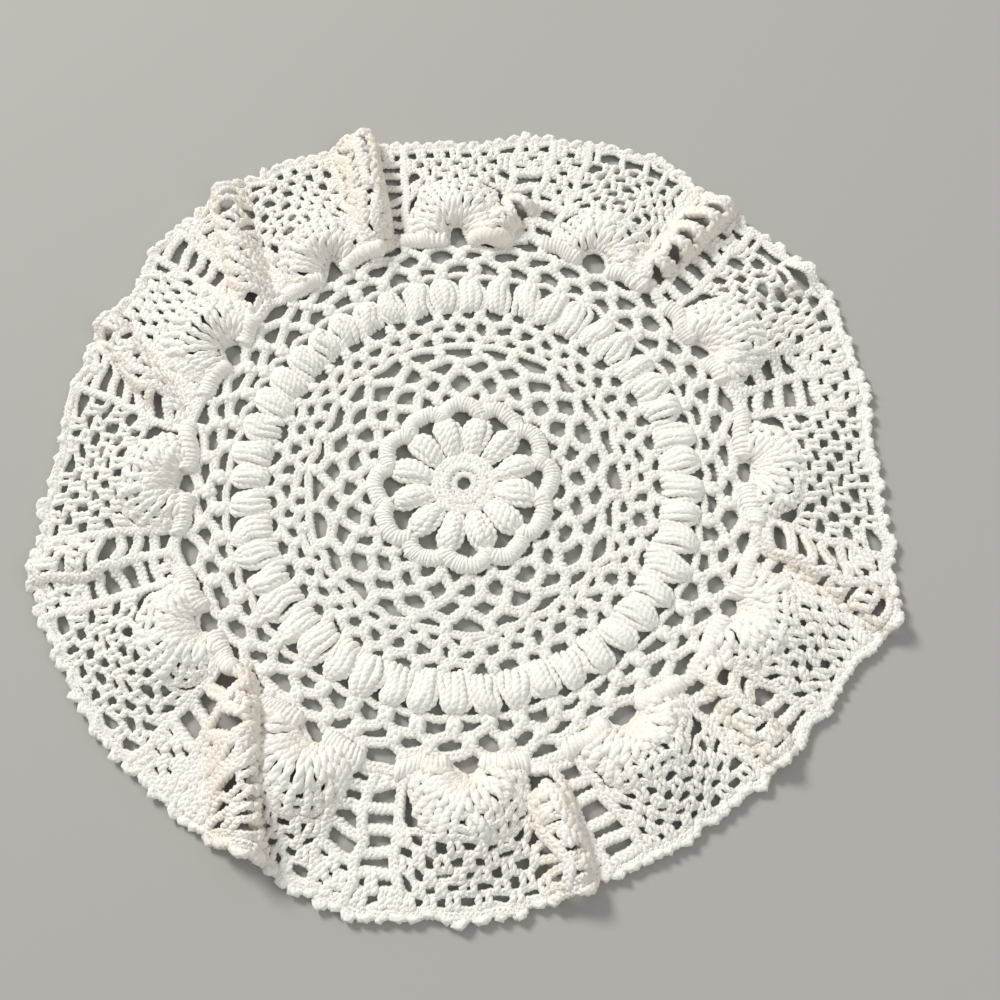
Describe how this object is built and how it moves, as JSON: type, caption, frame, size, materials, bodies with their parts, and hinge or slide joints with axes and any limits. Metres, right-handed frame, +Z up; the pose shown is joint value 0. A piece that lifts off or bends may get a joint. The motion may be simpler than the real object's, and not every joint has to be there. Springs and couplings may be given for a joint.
{
  "type": "crocheted lace doily",
  "caption": "Round crocheted cotton doily laid flat, with a petal centre, open nets, a ring of popcorn stitches and domed fans around a ruffled, scalloped edge.",
  "frame": {"origin": "on the surface that the doily lies on, under the middle of its box", "axes": "+Z up from the surface, +X to the viewer's right and +Y away from the viewer"},
  "size_m": [0.3228, 0.324, 0.0164],
  "materials": {
    "ivory_cotton": "matte crocheted cotton yarn"
  },
  "bodies": {
    "root": {"doily": "ivory_cotton"}
  },
  "joints": []
}
